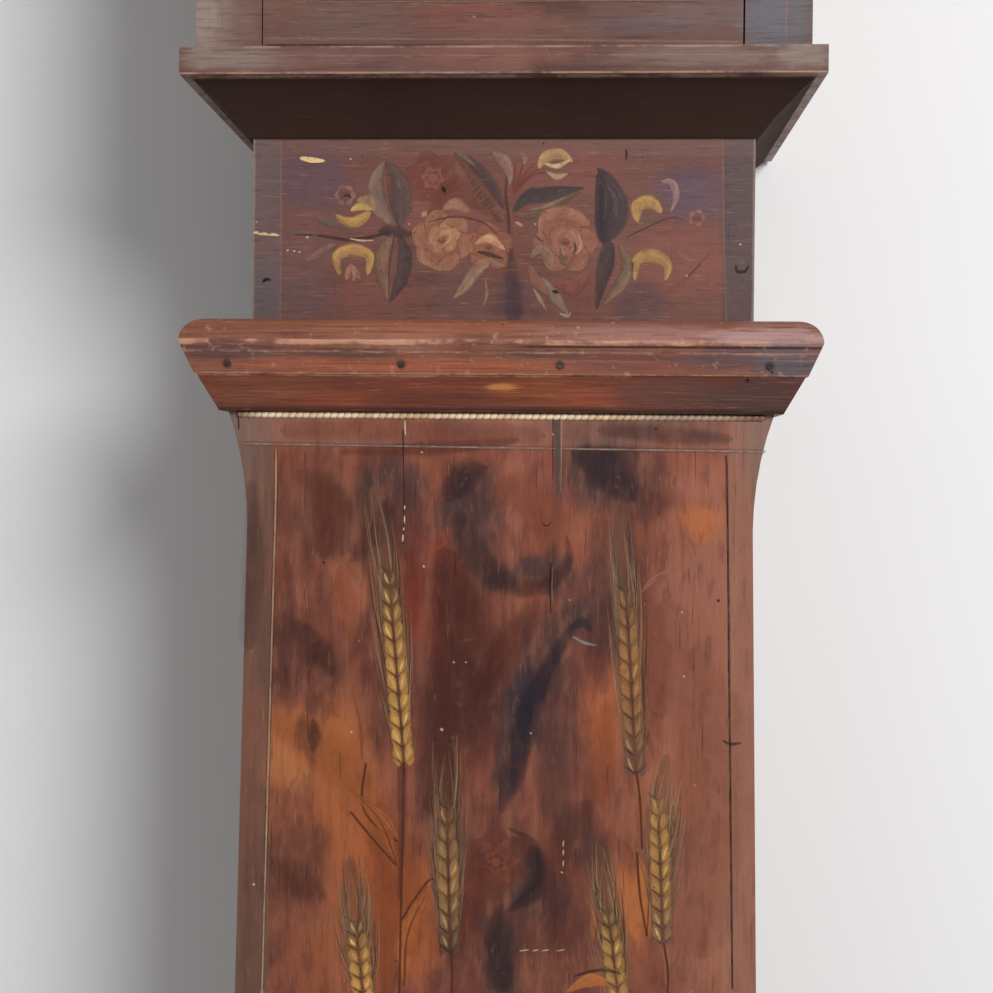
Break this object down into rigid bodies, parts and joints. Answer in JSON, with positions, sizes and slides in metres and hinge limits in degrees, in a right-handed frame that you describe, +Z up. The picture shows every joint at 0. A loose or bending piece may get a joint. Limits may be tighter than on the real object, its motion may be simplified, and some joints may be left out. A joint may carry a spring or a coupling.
{
  "type": "longcase clock",
  "caption": "Painted farmhouse longcase clock: flared trunk with a door, painted neck, moulded hood with glazed door, iron cage movement, two rope weights, pendulum and bell",
  "frame": {"origin": "on the floor, under the middle of the case's bounding box", "axes": "the dial and the doors face -Y, +X is to the right as one faces the clock, +Z is up"},
  "size_m": [0.45, 0.28, 2.282],
  "materials": {
    "painted_trunk": "worn oil paint clouded in orange, red-brown and purple-grey, with gilt wheat ears",
    "painted_neck": "worn dark red-brown paint with a spray of roses and leaves",
    "waist_paint": "worn red-orange paint, rubbed through along the arris",
    "hood_paint": "dark red-brown paint, worn at the edges",
    "side_paint": "plain red-brown paint with brushed clouding",
    "bare_board": "unpainted softwood, darkened with age",
    "gilt_bead": "cream and gilt paint over a carved rope",
    "iron": "dark forged iron",
    "brass": "aged brass with brown in the hollows",
    "bell_metal": "dull bell metal",
    "steel": "grey filed steel",
    "blued_steel": "blackened steel",
    "enamel": "white fired enamel with plain black numerals",
    "glass": "old window glass",
    "hemp": "twisted hemp rope"
  },
  "bodies": {
    "case": {"back_board": "bare_board", "trunk_left_side": "side_paint", "trunk_right_side": "side_paint", "trunk_front": "painted_trunk", "rope_bead": "gilt_bead", "waist_moulding_front": "waist_paint", "waist_moulding_returns": "waist_paint", "moulding_nails": "iron", "neck_front": "painted_neck", "neck_sides": "side_paint", "hood_moulding_front": "hood_paint", "hood_moulding_returns": "hood_paint", "hood_left_side": "side_paint", "hood_right_side": "side_paint", "hood_front_frame": "hood_paint", "hood_roof": "bare_board", "cornice": "waist_paint", "seat_board": "bare_board", "plinth_panels": "side_paint", "plinth_cap": "waist_paint", "skirting": "hood_paint", "floor_board": "bare_board", "door_hinge_pins": "iron", "movement_cage": "iron", "movement_straps": "iron", "dial": "enamel", "dial_surround": "brass", "pendulum_cock": "iron", "bell": "bell_metal"},
    "hood_door": {"hood_door": "hood_paint", "hood_door_glass": "glass", "hood_hinge_knuckles": "iron"},
    "hood_turn_button": {"hood_turn_button": "brass"},
    "trunk_door": {"trunk_door": "painted_trunk", "door_battens": "bare_board", "trunk_hinge_knuckles": "iron", "lock_case": "iron", "escutcheon": "brass"},
    "trunk_key": {"trunk_key": "steel"},
    "lock_bolt": {"lock_bolt": "steel"},
    "minute_arbor": {"centre_arbor": "brass", "minute_hand": "blued_steel"},
    "hour_hand": {"hour_hand": "blued_steel"},
    "minute_wheel": {"minute_wheel": "brass"},
    "going_great_wheel": {"going_great_wheel": "brass"},
    "third_wheel": {"third_wheel": "brass"},
    "escape_wheel": {"escape_wheel": "brass"},
    "pendulum": {"pendulum_rod": "steel", "pendulum_bob": "brass"},
    "anchor": {"anchor": "steel"},
    "going_weight": {"going_rope": "hemp", "going_weight": "iron"},
    "going_barrel": {"going_barrel": "steel"},
    "strike_weight": {"strike_rope": "hemp", "strike_weight": "iron"},
    "strike_barrel": {"strike_barrel": "steel"},
    "strike_great_wheel": {"strike_great_wheel": "brass"},
    "pin_wheel": {"pin_wheel": "brass"},
    "fly": {"fly": "brass"},
    "bell_hammer": {"bell_hammer": "steel"}
  },
  "joints": [
    {"name": "hood_door_hinge", "type": "hinge", "parent": "case", "child": "hood_door", "pos_m": [-0.149, -0.1088, 0], "axis": [0, 0, -1], "range_deg": [0, 110]},
    {"name": "hood_button_turn", "type": "hinge", "parent": "case", "child": "hood_turn_button", "pos_m": [0.163, -0.105, 1.98325], "axis": [0, 1, 0], "range_deg": [-90, 0]},
    {"name": "trunk_door_hinge", "type": "hinge", "parent": "case", "child": "trunk_door", "pos_m": [-0.11438, -0.0908, 0], "axis": [0, 0, -1], "range_deg": [0, 110]},
    {"name": "key_turn", "type": "hinge", "parent": "trunk_door", "child": "trunk_key", "pos_m": [0.09, -0.087, 0.825], "axis": [0, -1, 0], "range_deg": [0, 180]},
    {"name": "bolt_slide", "type": "slide", "parent": "trunk_door", "child": "lock_bolt", "axis": [1, 0, 0], "range_m": [0, 0.01]},
    {"name": "minute_turn", "type": "hinge", "parent": "case", "child": "minute_arbor", "pos_m": [0, 0, 1.94], "axis": [0, -1, 0], "continuous": true},
    {"name": "hour_turn", "type": "hinge", "parent": "case", "child": "hour_hand", "pos_m": [0, 0, 1.94], "axis": [0, -1, 0], "continuous": true},
    {"name": "minute_wheel_turn", "type": "hinge", "parent": "case", "child": "minute_wheel", "pos_m": [0, 0, 1.915], "axis": [0, -1, 0], "continuous": true},
    {"name": "going_great_wheel_turn", "type": "hinge", "parent": "case", "child": "going_great_wheel", "pos_m": [0.0473, 0, 1.90309], "axis": [0, -1, 0], "continuous": true},
    {"name": "third_wheel_turn", "type": "hinge", "parent": "case", "child": "third_wheel", "pos_m": [0.0473, 0, 1.96605], "axis": [0, -1, 0], "continuous": true},
    {"name": "escape_wheel_turn", "type": "hinge", "parent": "case", "child": "escape_wheel", "pos_m": [0, 0, 1.996], "axis": [0, -1, 0], "continuous": true},
    {"name": "pendulum_swing", "type": "hinge", "parent": "case", "child": "pendulum", "pos_m": [0, 0, 2.025], "axis": [0, -1, 0], "range_deg": [-3, 3]},
    {"name": "anchor_rock", "type": "hinge", "parent": "case", "child": "anchor", "pos_m": [0, 0, 2.025], "axis": [0, -1, 0], "range_deg": [-3, 3]},
    {"name": "going_weight_drop", "type": "slide", "parent": "case", "child": "going_weight", "axis": [0, 0, 1], "range_m": [-0.675, 0.675], "deforming": ["going_rope"]},
    {"name": "going_barrel_turn", "type": "hinge", "parent": "case", "child": "going_barrel", "pos_m": [0.0473, 0, 1.90309], "axis": [0, -1, 0], "range_deg": [-2865.8, 2865.8]},
    {"name": "strike_weight_drop", "type": "slide", "parent": "case", "child": "strike_weight", "axis": [0, 0, 1], "range_m": [-0.675, 0.675], "deforming": ["strike_rope"]},
    {"name": "strike_barrel_turn", "type": "hinge", "parent": "case", "child": "strike_barrel", "pos_m": [-0.0473, 0, 1.90309], "axis": [0, -1, 0], "range_deg": [-2865.8, 2865.8]},
    {"name": "strike_great_wheel_turn", "type": "hinge", "parent": "case", "child": "strike_great_wheel", "pos_m": [-0.0473, 0, 1.90309], "axis": [0, -1, 0], "continuous": true},
    {"name": "pin_wheel_turn", "type": "hinge", "parent": "case", "child": "pin_wheel", "pos_m": [-0.0473, 0, 1.96309], "axis": [0, -1, 0], "continuous": true},
    {"name": "fly_turn", "type": "hinge", "parent": "case", "child": "fly", "pos_m": [-0.0473, 0, 1.99279], "axis": [0, -1, 0], "continuous": true},
    {"name": "hammer_swing", "type": "hinge", "parent": "case", "child": "bell_hammer", "pos_m": [-0.085, -0.009, 2.063], "axis": [0, -1, 0], "range_deg": [0, 12]}
  ],
  "couplings": [
    {"joint": "bolt_slide", "follows": "key_turn", "m_per_rad": 0.0031831},
    {"joint": "hour_turn", "follows": "minute_turn", "ratio": 0.083333},
    {"joint": "minute_wheel_turn", "follows": "minute_turn", "ratio": -0.33333},
    {"joint": "going_great_wheel_turn", "follows": "minute_turn", "ratio": -0.083333},
    {"joint": "third_wheel_turn", "follows": "minute_turn", "ratio": -8},
    {"joint": "escape_wheel_turn", "follows": "minute_turn", "ratio": 60},
    {"joint": "anchor_rock", "follows": "pendulum_swing", "ratio": 1},
    {"joint": "going_barrel_turn", "follows": "going_weight_drop", "rad_per_m": 74.074},
    {"joint": "strike_barrel_turn", "follows": "strike_weight_drop", "rad_per_m": -74.074},
    {"joint": "strike_great_wheel_turn", "follows": "pin_wheel_turn", "ratio": -0.083333},
    {"joint": "fly_turn", "follows": "pin_wheel_turn", "ratio": -10}
  ]
}
